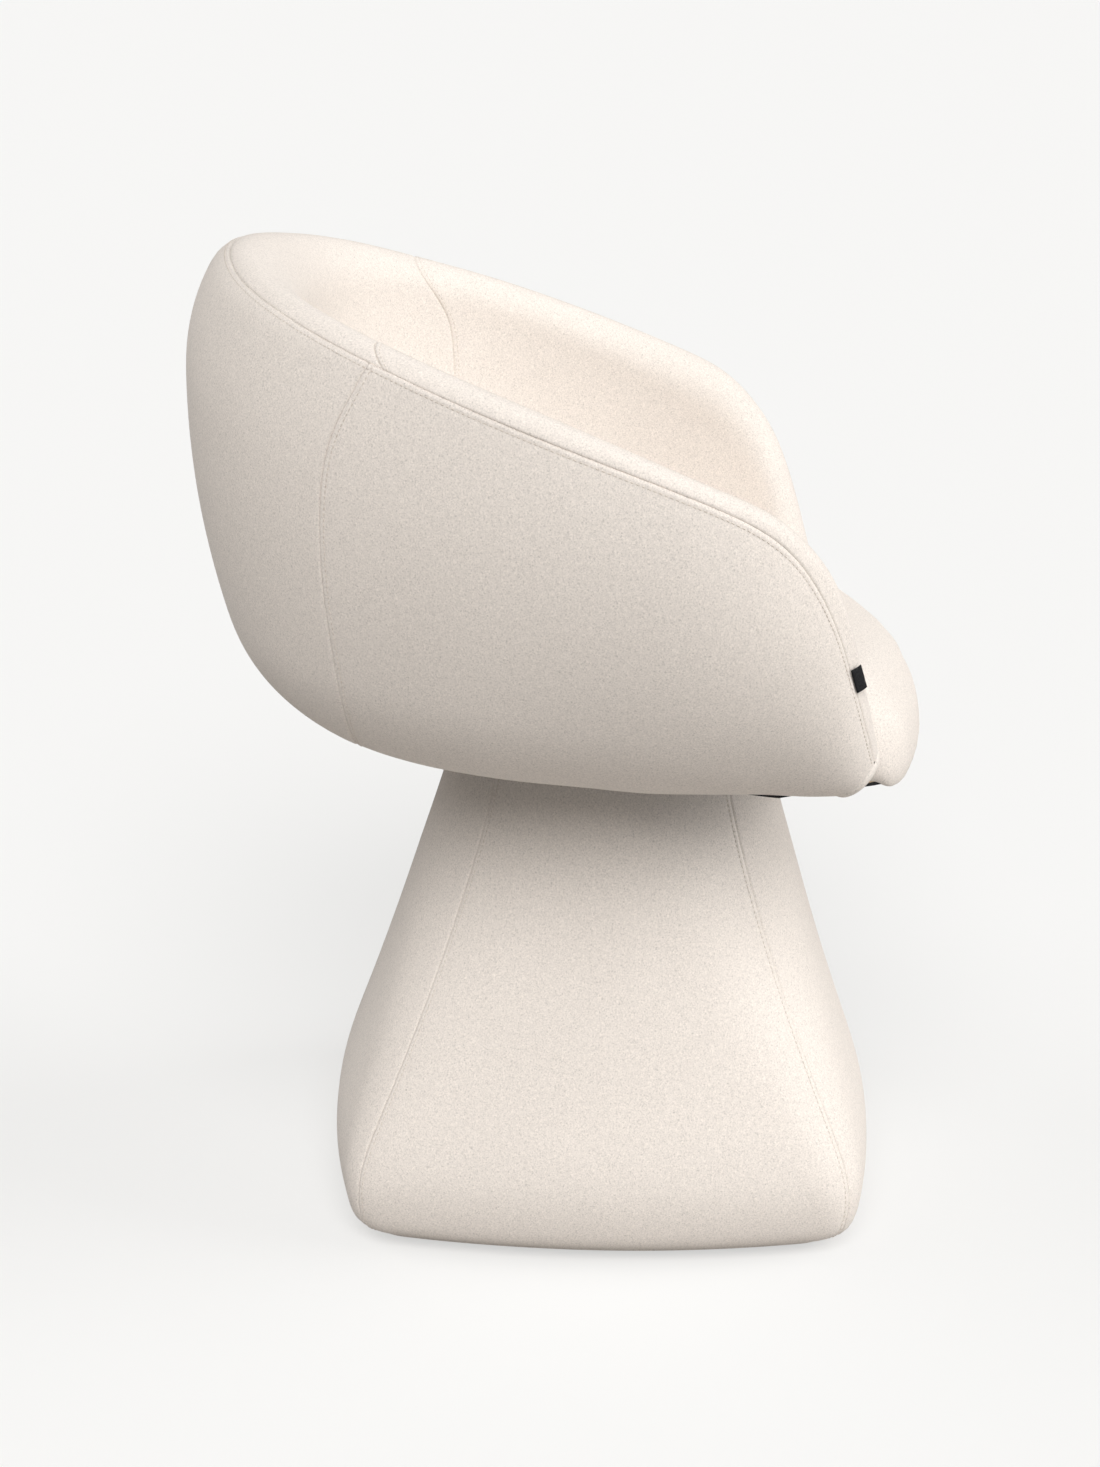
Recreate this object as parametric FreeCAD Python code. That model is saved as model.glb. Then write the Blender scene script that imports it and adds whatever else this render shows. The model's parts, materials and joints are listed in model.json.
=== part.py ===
import FreeCAD, Part
import math
import os

# Upholstered swivel tub chair in millimetres.
# +Z is up, the sitter faces -Y and the plane X = 0 is the plane of symmetry.
# Every piece is drawn about the swivel axis and then moved to the frame, whose origin is
# on the floor half way between the cushion's nose and the bulge of the back.

Vec = FreeCAD.Vector
UP = Vec(0, 0, 1)

# Overall form
tub_half_width = 307.0      # widest place of the rim's crest, from the middle
tub_back = 297.0            # crest at the middle of the back, from the swivel axis
tub_floor = 396.0           # underside of the tub above the floor
tub_rise = 383.0            # crest of the back above the underside
back_belly = 45.0           # how far the back bulges past its crest
back_wall = 92.0            # padded thickness at the middle of the back
arm_wall = 54.0             # padded thickness of an arm
inner_lean_share = 0.2      # how far the inside leans in on its way down
low_corner_share = 0.88     # roundness of the turn from side to underside
crest_share = 0.66          # roundness of the crest on its outer side
inner_crest_share = 0.8     # roundness of the crest on its inner side
inner_crest_rise_share = 1.15

# Padding, cloth and the moulded carcass inside the tub
cloth = 3.0
shell_cover = 15.0          # foam and cloth outside the carcass
shell_wall = 8.0
shell_margin = 2.0          # least padding between carcass and cloth
board_bite = 3.0            # blank of the boards past the foot, before it is trimmed to the wall
foot_room = 9.0             # between the boards and the foot of the wall, for the cloth's hem
glue_line = 0.2             # between padding and the cloth over it
foam_joint_deg = 50.0       # joints between back and arm pads, from straight back
fit_gap = 0.3
overrun = 20.0

# Seat
deck_thickness = 15.0
deck_front = 224.0          # front edge of the deck, ahead of the axis
seat_top = 481.0            # crown of the cushion above the floor
seat_nose = 255.0           # foremost place of the cushion, ahead of the axis
seat_half_width = 198.0     # cushion between the fronts of the arms
seat_flare = 262.0          # half width of the cushion's blank at the arms
seat_back_reach = 262.0
side_turn = 172.0           # where the cushion's sides leave the arms, ahead of the axis
flare_turn = 60.0
board_setback = 10.0        # deck and underside inside the cushion's blank
nose_corner_share = 0.75    # corner radius, of the nose's length ahead of side_turn
side_draw_share = 0.55      # how far the sides draw in for each unit that the nose does
side_turn_share = 0.5       # how far side_turn moves back for each unit that the nose does
rear_turn_deg = 50.0

# Base
base_top = 388.0
base_widest = 221.0         # half width at the widest place
base_widest_at = 65.0       # height of that place
base_foam_wall = 12.0
casing_wall = 5.0
rib_thickness = 18.0
side_turn_deg = 12.0        # half the turn of each long side arc of the base

# Base plate and glides
plate_bottom = 4.0
plate_thickness = 8.0
glide_radius = 15.0
glide_flare = 3.0
glide_setback = 30.0        # glide centres inside the corner of the plate
glide_stem_radius = 4.0
glide_stem = 12.0
screw_radius = 2.5
screw_head_radius = 5.0
screw_head = 2.0
screw_length = 30.0
screw_place_shares = (0.35, 0.7)

# Swivel bearing
top_board_thickness = 18.0
swivel_drop = 15.0          # lower face of the lower plate below the tub's underside
race_plate = 3.0
race_plate_radius = 82.0
race_radius = 55.0
race_bead = 8.0
ball_radius = 4.0
ball_play = 0.08
ball_count = 24
pivot_radius = 14.0
pivot_bore = 9.0
pivot_flange = 4.0
pivot_flange_radius = 20.0
bolt_circle_radius = 70.0
bolt_count = 4
bolt_radius = 3.0
bolt_head_radius = 6.0
bolt_head = 3.5
bolt_length = 14.0
bead_share = 0.45           # gap between ball level and bead, of the ball's radius
lower_bolt_turn_deg = 45.0
upper_bolt_turn_deg = 0.0
top_ring_bore = 94.0

# Sewn-in tab on the sitter's right arm
tab_width = 11.0
tab_height = 21.0
tab_thickness = 5.0         # before the padding's outline is taken out of it
tab_section = 9
tab_share = 0.2             # of the way to the next section

# One row per section of the tub wall, from the middle of the back to the front of an arm.
# turn: direction of the wall's thickness in degrees from straight back.
# Then shares: crest to the side of tub_half_width, crest backwards of tub_back,
# crest height of tub_rise, lean of the section of tub_back, belly of back_belly,
# height from crest to belly of tub_rise, underside's tuck of the height below the belly,
# and underside's lift of tub_rise.
station_shares = [
    (0, 0.000, 1.000, 1.000, 0.000, 1.00, 0.232, 0.61, 0.000),
    (18, 0.349, 0.949, 0.982, 0.000, 1.00, 0.255, 0.60, 0.000),
    (36, 0.606, 0.815, 0.948, 0.000, 0.89, 0.266, 0.61, 0.000),
    (54, 0.798, 0.596, 0.893, 0.000, 0.77, 0.263, 0.64, 0.000),
    (72, 0.928, 0.320, 0.822, 0.000, 0.66, 0.248, 0.69, 0.000),
    (88, 0.990, 0.027, 0.739, 0.047, 0.56, 0.212, 0.74, 0.000),
    (96, 1.000, -0.209, 0.666, 0.108, 0.51, 0.188, 0.78, 0.000),
    (100, 0.967, -0.377, 0.598, 0.155, 0.48, 0.172, 0.81, 0.001),
    (103, 0.909, -0.492, 0.496, 0.182, 0.46, 0.150, 0.84, 0.004),
    (104, 0.845, -0.562, 0.366, 0.168, 0.46, 0.118, 0.87, 0.010),
    (105, 0.782, -0.613, 0.222, 0.141, 0.48, 0.085, 0.90, 0.018),
    (105, 0.723, -0.650, 0.116, 0.111, 0.46, 0.066, 0.90, 0.024),
]
# Padded thickness at each section, as a share of the way from the arm's to the back's.
wall_shares = [1.0, 0.89, 0.53, 0.21, 0.05, 0, 0, 0, 0, 0, 0, 0]
# Where the rim seam runs on the crest's outer turn.
seam_turn_shares = [0.70, 0.66, 0.55, 0.40, 0.28, 0.20, 0.18, 0.18, 0.18, 0.18, 0.18, 0.18]
# Last section that the moulded carcass reaches.
shell_last = 9

# Levels of the base: height as a share of base_widest_at below it and of the rest above it,
# half width as a share of base_widest, and corner place as a share of the half width.
base_levels_above_shares = [
    (1.000, 0.593, 0.7071),
    (0.851, 0.656, 0.7120),
    (0.666, 0.753, 0.7350),
    (0.418, 0.867, 0.7750),
    (0.161, 0.964, 0.8100),
]
base_levels_below_shares = [
    (1.000, 1.000, 0.830),
    (0.520, 0.982, 0.845),
    (0.260, 0.944, 0.855),
    (0.123, 0.891, 0.862),
]

# Side view of the seams between back and sides: backwards as a share of tub_back,
# height as a share of tub_rise above the underside. The pieces meet at the crest.
outer_seam_shares = [(0.600, 1.10), (0.600, 0.896), (0.694, 0.747), (0.734, 0.585), (0.724, 0.400),
                     (0.690, 0.180), (0.640, -0.10)]
inner_seam_shares = [(0.600, 1.10), (0.600, 0.896), (0.512, 0.791), (0.478, 0.660), (0.470, 0.400),
                     (0.480, 0.180), (0.480, -0.10)]


# Arcs and outlines

class Arc2:
    """Circular arc in a section's own plane: p outwards, q upwards."""

    def __init__(self, cp, cq, radius, start, end):
        self.cp = cp
        self.cq = cq
        self.radius = radius
        self.start = start
        self.end = end

    def at(self, share):
        angle = self.start + (self.end - self.start) * share
        return self.cp + self.radius * math.cos(angle), self.cq + self.radius * math.sin(angle)

    def grown(self, step):
        return Arc2(self.cp, self.cq, self.radius + step, self.start, self.end)

    def part(self, first, last):
        span = self.end - self.start
        return Arc2(self.cp, self.cq, self.radius, self.start + span * first, self.start + span * last)


def quarter(width, height, radius):
    """Two tangent arcs from (width, 0), going straight up, to (0, height), going level."""
    large = (width ** 2 + height ** 2 - 2 * height * radius) / (2 * (width - radius))
    meet = math.atan2(height - radius, large - width)
    return (Arc2(width - large, 0, large, 0, meet),
            Arc2(0, height - radius, radius, meet, math.pi / 2))


def moved(arc, dp, dq):
    return Arc2(arc.cp + dp, arc.cq + dq, arc.radius, arc.start, arc.end)


def flipped_down(arc, dp, dq):
    """Mirror image below the line q = 0, then moved; it runs the other way."""
    return Arc2(arc.cp + dp, dq - arc.cq, arc.radius, -arc.end, -arc.start)


def flipped_in(arc, dp, dq):
    """Mirror image beyond the line p = 0, then moved; it runs the other way."""
    return Arc2(dp - arc.cp, arc.cq + dq, arc.radius, math.pi - arc.end, math.pi - arc.start)


# Tub wall

class Section:
    """Padded wall of the tub at one station, and on the mirrored side when side is -1."""

    def __init__(self, index, side):
        turn, across, back, rise, lean, belly, drop, tuck, lift = station_shares[index]
        angle = math.radians(turn)
        self.out = Vec(side * math.sin(angle), math.cos(angle), 0)
        floor = tub_floor + lift * tub_rise
        top = tub_floor + rise * tub_rise
        self.crest = Vec(side * across * tub_half_width, back * tub_back, top)
        foot = Vec(self.crest.x, self.crest.y + lean * tub_back, floor)
        along = self.crest - foot
        along = along - self.out * along.dot(self.out)
        self.height = along.Length
        self.along = along.normalize()
        self.seam = seam_turn_shares[index]
        self.thick = arm_wall + wall_shares[index] * (back_wall - arm_wall)
        self.belly = belly * back_belly
        self.drop = drop * tub_rise
        self.tuck = tuck * (self.height - self.drop)
        self.deck = (cloth + deck_thickness) / self.along.z

    def arcs(self, inset):
        """Tangent arcs from the foot outside, over the crest, to the foot inside."""
        waist = self.height - self.drop
        low_big, low_small = quarter(self.tuck, waist, low_corner_share * min(self.tuck, waist))
        up_big, up_small = quarter(self.belly, self.drop, crest_share * min(self.belly, self.drop))
        inner = self.thick - self.belly
        rise = inner_crest_rise_share * inner
        rise = min(rise, self.height - self.deck * (1 - low_corner_share))
        in_big, in_small = quarter(inner, rise, inner_crest_share * min(inner, rise))
        fall = max(self.height - rise - self.deck, self.deck * (1 - low_corner_share))
        lean = inner_lean_share * fall
        face = (fall ** 2 + lean ** 2) / (2 * lean)
        end = math.asin(fall / face)
        foot = self.belly - self.tuck
        return [
            flipped_down(low_small, foot, waist).grown(-inset),
            flipped_down(low_big, foot, waist).grown(-inset),
            moved(up_big, 0, waist).grown(-inset),
            moved(up_small, 0, waist).grown(-inset),
            flipped_in(in_small, 0, self.height - rise).grown(-inset),
            flipped_in(in_big, 0, self.height - rise).grown(-inset),
            Arc2(-inner - face, self.height - rise, face + inset, 0, -end),
        ]

    def point(self, p, q):
        return self.crest + self.out * p + self.along * (q - self.height)

    def foot_point(self, rise):
        """Where the layers below the cushion end: rise is 0 at their underside and 1 at their top."""
        arcs = self.arcs(0)
        inside = arcs[-1].at(1)[0]
        under = min(arcs[0].at(0)[0], inside)
        return self.point(under + rise * (inside - under) + board_bite, rise * self.deck)

    def edge(self, arc):
        ends = [self.point(*arc.at(share)) for share in (0, 0.5, 1)]
        return Part.Arc(*ends).toShape()

    def line(self, first, last):
        return Part.LineSegment(self.point(*first), self.point(*last)).toShape()

    def closed(self, inset, foot_room=0):
        """Outline of the wall, closed along its foot or a little inside it."""
        arcs = self.arcs(inset)
        edges = [self.edge(arc) for arc in arcs]
        corners = [arcs[-1].at(1), arcs[0].at(0)]
        if foot_room:
            near = [(p - foot_room, q) for p, q in corners]
            corners = [corners[0], near[0], near[1], corners[1]]
        edges += [self.line(a, b) for a, b in zip(corners, corners[1:])]
        return Part.Wire(edges)

    def band(self, chosen, near, far):
        """Outline of a layer between two insets along the arcs that chosen picks."""
        outside = chosen(self.arcs(near))
        inside = [Arc2(a.cp, a.cq, a.radius, a.end, a.start) for a in reversed(chosen(self.arcs(far)))]
        edges = [self.edge(arc) for arc in outside]
        edges.append(self.line(outside[-1].at(1), inside[0].at(0)))
        edges += [self.edge(arc) for arc in inside]
        edges.append(self.line(inside[-1].at(1), outside[0].at(0)))
        return Part.Wire(edges)


def stations(last):
    """Sections from the front of one arm, round the back, to the front of the other."""
    left = [Section(index, -1) for index in range(last, 0, -1)]
    return left + [Section(index, 1) for index in range(last + 1)]


def tub_loft(wire_of, last):
    return Part.makeLoft([wire_of(section) for section in stations(last)], True, False)


def tub_solid(inset, foot_room=0):
    return tub_loft(lambda section: section.closed(inset, foot_room), len(station_shares) - 1)


def outer_cloth(section):
    """Cloth outside the rim seam."""
    return section.band(lambda arcs: arcs[:3] + [arcs[3].part(0, section.seam)], 0, cloth)


def inner_cloth(section):
    """Cloth over the rim and down inside."""
    return section.band(lambda arcs: [arcs[3].part(section.seam, 1)] + arcs[4:], 0, cloth)


def arm_end(side, room):
    """Cloth over the front end of an arm, with room round it."""
    section = Section(len(station_shares) - 1, side)
    forward = section.out.cross(section.along) * side
    return Part.Face(section.closed(-room)).extrude(forward * (cloth + room))


def side_prism(shares):
    """Everything behind a seam that is drawn in side view, right across the chair."""
    reach = tub_half_width + back_wall
    points = [Vec(-reach, back * tub_back, tub_floor + rise * tub_rise) for back, rise in shares]
    curve = Part.BSplineCurve()
    curve.interpolate(points)
    behind = tub_back + back_wall + overrun
    corners = [points[-1], Vec(-reach, behind, points[-1].z), Vec(-reach, behind, points[0].z), points[0]]
    edges = [curve.toShape()]
    edges += [Part.LineSegment(a, b).toShape() for a, b in zip(corners, corners[1:])]
    return Part.Face(Part.Wire(edges)).extrude(Vec(2 * reach, 0, 0))


def half_space(side):
    """Big block on one side of the plane of symmetry."""
    reach = tub_half_width + back_wall
    block = Part.makeBox(reach, 2 * (tub_back + back_wall), tub_rise + 2 * back_wall)
    block.translate(Vec(min(0, side * reach), -(tub_back + back_wall), tub_floor - back_wall))
    return block


def back_wedge():
    """Block behind the chair between two upright planes through the swivel axis."""
    reach = 2 * (tub_back + back_wall)
    angle = math.radians(foam_joint_deg)
    side = Vec(reach * math.sin(angle), reach * math.cos(angle), tub_floor - overrun)
    mirrored = Vec(-side.x, side.y, side.z)
    tip = Vec(0, 0, side.z)
    rear = Vec(0, reach, side.z)
    plan = Part.makePolygon([tip, side, rear, mirrored, tip])
    return Part.Face(plan).extrude(Vec(0, 0, tub_rise + back_wall))


def panels(layer, seam, names):
    """Back panel and two side panels of one layer of cloth."""
    back = layer.common(seam)
    sides = layer.cut(seam)
    return {
        names[0]: back,
        names[1]: sides.common(half_space(1)),
        names[2]: sides.common(half_space(-1)),
    }


def main_solid(shape):
    """What is left of a blank inside the tub, without its offcuts."""
    return max(shape.Solids, key=lambda solid: solid.Volume)


# Seat

def seat_outline(level, inset, nose_back):
    """Plan of the cushion's blank: rounded nose between the arms, wide inside the tub."""
    half = seat_half_width - nose_back * side_draw_share - inset
    turn = side_turn - nose_back * side_turn_share
    depth = seat_nose - nose_back - inset - turn
    wide = seat_flare - inset
    deep = seat_back_reach - inset
    nose, corner = quarter(depth, half, nose_corner_share * depth)
    rear_turn = math.radians(rear_turn_deg)

    def ahead(point, sign):
        return Vec(sign * point[1], -turn - point[0], level)

    flare = Vec(wide, -flare_turn, level)
    rear = Vec(wide * math.sin(rear_turn), deep * math.cos(rear_turn), level)
    reach = Vec(0, deep, level)

    def mirror(point):
        return Vec(-point.x, point.y, point.z)

    edges = [
        Part.Arc(ahead(nose.at(1), -1), ahead(nose.at(0), 1), ahead(nose.at(1), 1)).toShape(),
        Part.Arc(*[ahead(corner.at(share), 1) for share in (0, 0.5, 1)]).toShape(),
        Part.LineSegment(ahead(corner.at(1), 1), flare).toShape(),
        Part.Arc(flare, rear, reach).toShape(),
        Part.Arc(reach, mirror(rear), mirror(flare)).toShape(),
        Part.LineSegment(mirror(flare), ahead(corner.at(1), -1)).toShape(),
        Part.Arc(*[ahead(corner.at(share), -1) for share in (1, 0.5, 0)]).toShape(),
    ]
    return Part.Wire(edges)


# Height as a share of the cushion's rise above the underside, nose set back as a share of that rise.
seat_level_shares = [(0.000, 0.10), (0.10, 0.01), (0.28, 0.00), (0.46, 0.05), (0.63, 0.15), (0.78, 0.31),
                     (0.89, 0.52), (0.96, 0.77), (1.00, 1.05)]


def seat_blank(inset):
    rise = seat_top - tub_floor - fit_gap
    wires = []
    for height, back in seat_level_shares:
        level = tub_floor + fit_gap + inset + height * (rise - 2 * inset)
        wires.append(seat_outline(level, inset, back * rise))
    return Part.makeLoft(wires, True, False)


def deck_outline(setback, front, bottom, height):
    """Upright block under the cushion: its plan follows the cushion's and ends straight in front."""
    plan = Part.Face(seat_outline(bottom, setback, 0)).extrude(Vec(0, 0, height))
    reach = tub_half_width
    behind = Part.makeBox(2 * reach, front + tub_back, height, Vec(-reach, -front, bottom))
    return plan.common(behind)


def deck_room():
    """Space that the deck and the structure below it take out of the cushion."""
    bottom = tub_floor - overrun
    return deck_outline(board_setback - fit_gap, deck_front + fit_gap, bottom, deck_top + fit_gap - bottom)


def floor_ring(level, rise):
    """Inside of the tub wall's foot at a level, closed in front by a straight edge."""
    points = [section.foot_point(rise) for section in stations(len(station_shares) - 1)]
    points = [Vec(point.x, point.y, level) for point in points]
    curve = Part.BSplineCurve()
    curve.interpolate(points)
    front_left = Vec(points[0].x, -seat_nose, level)
    front_right = Vec(points[-1].x, -seat_nose, level)
    ends = [points[-1], front_right, front_left, points[0]]
    edges = [curve.toShape()] + [Part.LineSegment(a, b).toShape() for a, b in zip(ends, ends[1:])]
    return Part.Wire(edges)


def seat_boards():
    """Deck, and the cloth below it, fitted into the foot of the tub wall."""
    room = Part.makeLoft([floor_ring(tub_floor, 0), floor_ring(deck_top, 1)], True, True)
    room = room.common(deck_outline(board_setback, deck_front, tub_floor, deck_top - tub_floor))
    wall = tub_solid(-fit_gap, foot_room)
    lower = main_solid(room.common(slab(tub_floor, deck_bottom)).cut(wall))
    upper = main_solid(room.common(slab(deck_bottom, deck_top)).cut(wall))
    return lower, upper


# Base

def base_levels():
    above = base_top - base_widest_at
    levels = [(base_widest_at + h * above, w * base_widest, c) for h, w, c in base_levels_above_shares]
    levels += [(h * base_widest_at, w * base_widest, c) for h, w, c in base_levels_below_shares]
    return levels


def base_arcs(half, corner):
    """Long side arc and half of the corner arc for one eighth of a level, as radii and centres."""
    turn = math.radians(side_turn_deg)
    grow = 1 + math.tan(turn / 2)
    small = half * (1 - corner * grow) / (1 - grow / math.sqrt(2))
    middle = corner * half - small / math.sqrt(2)
    large = (middle + small * math.sin(turn)) / math.sin(turn)
    return large, small, middle, turn


def turned(x, y, quarter_turns, level):
    angle = quarter_turns * math.pi / 2
    return Vec(x * math.cos(angle) - y * math.sin(angle), x * math.sin(angle) + y * math.cos(angle), level)


def base_side_edges(level, half, corner, inset, quarter_turns):
    """From one corner, along a side, to the next corner."""
    large, small, middle, turn = base_arcs(half, corner)
    large_centre = half - large

    def on_corner(angle, sign):
        return turned(middle + (small - inset) * math.cos(angle),
                      sign * (middle + (small - inset) * math.sin(angle)), quarter_turns, level)

    def on_side(angle):
        return turned(large_centre + (large - inset) * math.cos(angle),
                      (large - inset) * math.sin(angle), quarter_turns, level)

    mid = (turn + math.pi / 4) / 2
    return [
        Part.Arc(on_corner(math.pi / 4, -1), on_corner(mid, -1), on_corner(turn, -1)).toShape(),
        Part.Arc(on_side(-turn), on_side(0), on_side(turn)).toShape(),
        Part.Arc(on_corner(turn, 1), on_corner(mid, 1), on_corner(math.pi / 4, 1)).toShape(),
    ]


def base_ring(level, half, corner, inset):
    edges = []
    for quarter_turns in range(4):
        edges += base_side_edges(level, half, corner, inset, quarter_turns)
    return Part.Wire(edges)


def base_solid(inset):
    rings = [base_ring(z, half, corner, inset) for z, half, corner in base_levels()]
    return Part.makeLoft(rings, True, False)


def base_panel(quarter_turns):
    """One of the four cloth panels, seamed to its neighbours along the corners."""
    wires = []
    for z, half, corner in base_levels():
        outside = base_side_edges(z, half, corner, 0, quarter_turns)
        inside = base_side_edges(z, half, corner, cloth, quarter_turns)
        start = outside[0].Vertexes[0].Point
        end = outside[-1].Vertexes[-1].Point
        inner_start = inside[0].Vertexes[0].Point
        inner_end = inside[-1].Vertexes[-1].Point
        edges = outside + [Part.LineSegment(end, inner_end).toShape()]
        edges += list(reversed(inside)) + [Part.LineSegment(inner_start, start).toShape()]
        wires.append(Part.Wire(Part.__sortEdges__(edges)))
    return Part.makeLoft(wires, True, False)


def slab(bottom, top):
    reach = tub_half_width
    block = Part.makeBox(2 * reach, 2 * reach, top - bottom)
    block.translate(Vec(-reach, -reach, bottom))
    return block


def tube(outer, inner, bottom, height):
    ring = Part.makeCylinder(outer, height, Vec(0, 0, bottom))
    if inner > 0:
        ring = ring.cut(Part.makeCylinder(inner, height + 2 * overrun, Vec(0, 0, bottom - overrun)))
    return ring


def around(shape_at, count, start_deg):
    """Copies of a small piece at equal steps about the swivel axis."""
    pieces = []
    for index in range(count):
        piece = shape_at.copy()
        piece.rotate(Vec(0, 0, 0), UP, start_deg + index * 360.0 / count)
        pieces.append(piece)
    return pieces


# Heights in the base and the bearing
plate_top = plate_bottom + plate_thickness
swivel_bottom = tub_floor - swivel_drop
board_bottom = swivel_bottom - top_board_thickness
deck_bottom = tub_floor + cloth
deck_top = deck_bottom + deck_thickness
ball_level = (swivel_bottom + deck_bottom) / 2
inner_inset = cloth + base_foam_wall + casing_wall


def plate_outline_share():
    z, half, corner = base_levels()[-1]
    return half, corner


def base_plate():
    half, corner = plate_outline_share()
    face = Part.Face(base_ring(plate_bottom, half, corner, cloth + fit_gap))
    plate = face.extrude(Vec(0, 0, plate_thickness))
    for x, y in glide_places():
        plate = plate.cut(Part.makeCylinder(glide_stem_radius, plate_thickness, Vec(x, y, plate_bottom)))
    for x, y in screw_places():
        plate = plate.cut(Part.makeCylinder(screw_radius, plate_thickness, Vec(x, y, plate_bottom)))
        plate = plate.cut(Part.makeCylinder(screw_head_radius, screw_head, Vec(x, y, plate_bottom)))
    return plate


def glide_places():
    half, corner = plate_outline_share()
    place = corner * half - glide_setback / math.sqrt(2)
    return [(sx * place, sy * place) for sx in (-1, 1) for sy in (-1, 1)]


def screw_places():
    """Screws up into the ribs, two along each arm of the cross."""
    reach = base_widest - inner_inset
    places = [sign * reach * share for sign in (-1, 1) for share in screw_place_shares]
    return [(place, 0) for place in places] + [(0, place) for place in places]


def glides():
    profile = [
        Vec(0, 0, 0), Vec(glide_radius - glide_flare, 0, 0), Vec(glide_radius, 0, plate_bottom / 2),
        Vec(glide_radius, 0, plate_bottom), Vec(glide_stem_radius, 0, plate_bottom),
        Vec(glide_stem_radius, 0, glide_stem), Vec(0, 0, glide_stem),
    ]
    glide = Part.Face(Part.makePolygon(profile + [profile[0]])).revolve(Vec(0, 0, 0), UP, 360)
    return Part.makeCompound([glide.translated(Vec(x, y, 0)) for x, y in glide_places()])


def plate_screws():
    screws = []
    for x, y in screw_places():
        head = Part.makeCylinder(screw_head_radius, screw_head, Vec(x, y, plate_bottom))
        shank = Part.makeCylinder(screw_radius, screw_length, Vec(x, y, plate_bottom))
        screws.append(head.fuse(shank).removeSplitter())
    return screws


def ribs():
    """Two crossed boards, half lapped at the swivel axis."""
    room = base_solid(inner_inset + fit_gap).common(slab(plate_top, board_bottom))
    reach = base_widest
    middle = (plate_top + board_bottom) / 2
    fore_aft = Part.makeBox(rib_thickness, 2 * reach, base_top, Vec(-rib_thickness / 2, -reach, 0))
    fore_aft = fore_aft.common(room)
    cross = Part.makeBox(2 * reach, rib_thickness, base_top, Vec(-reach, -rib_thickness / 2, 0))
    cross = cross.common(room)
    slot = rib_thickness + 2 * fit_gap
    upper = Part.makeBox(slot, slot, base_top, Vec(-slot / 2, -slot / 2, middle))
    lower = Part.makeBox(slot, slot, middle, Vec(-slot / 2, -slot / 2, 0))
    fore_aft = fore_aft.cut(upper)
    cross = cross.cut(lower)
    for x, y in screw_places():
        hole = Part.makeCylinder(screw_radius, screw_length, Vec(x, y, plate_bottom))
        if abs(x) > abs(y):
            cross = cross.cut(hole)
        else:
            fore_aft = fore_aft.cut(hole)
    return fore_aft, cross


def bolt_holes(shape, bottom, height, start_deg):
    hole = Part.makeCylinder(bolt_radius, height, Vec(bolt_circle_radius, 0, bottom))
    for tool in around(hole, bolt_count, start_deg):
        shape = shape.cut(tool)
    return shape


def top_board():
    room = base_solid(inner_inset + fit_gap).common(slab(board_bottom, swivel_bottom))
    board = room.cut(Part.makeCylinder(pivot_flange_radius + fit_gap, pivot_flange + fit_gap,
                                       Vec(0, 0, swivel_bottom - pivot_flange - fit_gap)))
    return bolt_holes(board, swivel_bottom - bolt_length, bolt_length, lower_bolt_turn_deg)


def bolts(face_level, start_deg, direction):
    """Pan head screws: the head lies on the plate's face, the shank goes the given way."""
    place = Vec(bolt_circle_radius, 0, face_level)
    head = Part.makeCylinder(bolt_head_radius, bolt_head, place, UP * -direction)
    shank = Part.makeCylinder(bolt_radius, bolt_length + race_plate, Vec(bolt_circle_radius, 0, face_level),
                              UP * direction)
    bolt = head.fuse(shank).removeSplitter()
    return Part.makeCompound(around(bolt, bolt_count, start_deg))


def race_profile(flat_level, sign):
    """Half section of a pressed race: flat disc with a raised bead that holds the balls."""
    near = race_radius - race_bead
    far = race_radius + race_bead
    bead = ball_level - sign * ball_radius * bead_share
    face = flat_level + sign * race_plate
    outline = [
        Vec(pivot_radius + ball_play, 0, flat_level), Vec(race_plate_radius, 0, flat_level),
        Vec(race_plate_radius, 0, face), Vec(far, 0, face), Vec(far - race_plate / 2, 0, bead),
        Vec(near + race_plate / 2, 0, bead), Vec(near, 0, face), Vec(pivot_radius + ball_play, 0, face),
    ]
    return Part.Face(Part.makePolygon(outline + [outline[0]]))


def race(flat_level, sign, start_deg):
    disc = race_profile(flat_level, sign).revolve(Vec(0, 0, 0), UP, 360)
    groove = Part.makeTorus(race_radius, ball_radius + ball_play, Vec(0, 0, ball_level), UP)
    disc = disc.cut(groove)
    low = min(flat_level, flat_level + sign * race_plate)
    return bolt_holes(disc, low, race_plate, start_deg)


def pivot():
    """Hollow rivet that keeps the two races together: fast in the lower one, free in the upper one."""
    bottom = swivel_bottom - pivot_flange
    top = deck_bottom + fit_gap
    outline = [
        Vec(pivot_bore, 0, bottom), Vec(pivot_flange_radius, 0, bottom), Vec(pivot_flange_radius, 0, swivel_bottom),
        Vec(pivot_radius, 0, swivel_bottom), Vec(pivot_radius, 0, top), Vec(pivot_flange_radius, 0, top),
        Vec(pivot_flange_radius, 0, top + pivot_flange), Vec(pivot_bore, 0, top + pivot_flange),
    ]
    return Part.Face(Part.makePolygon(outline + [outline[0]])).revolve(Vec(0, 0, 0), UP, 360)


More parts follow.
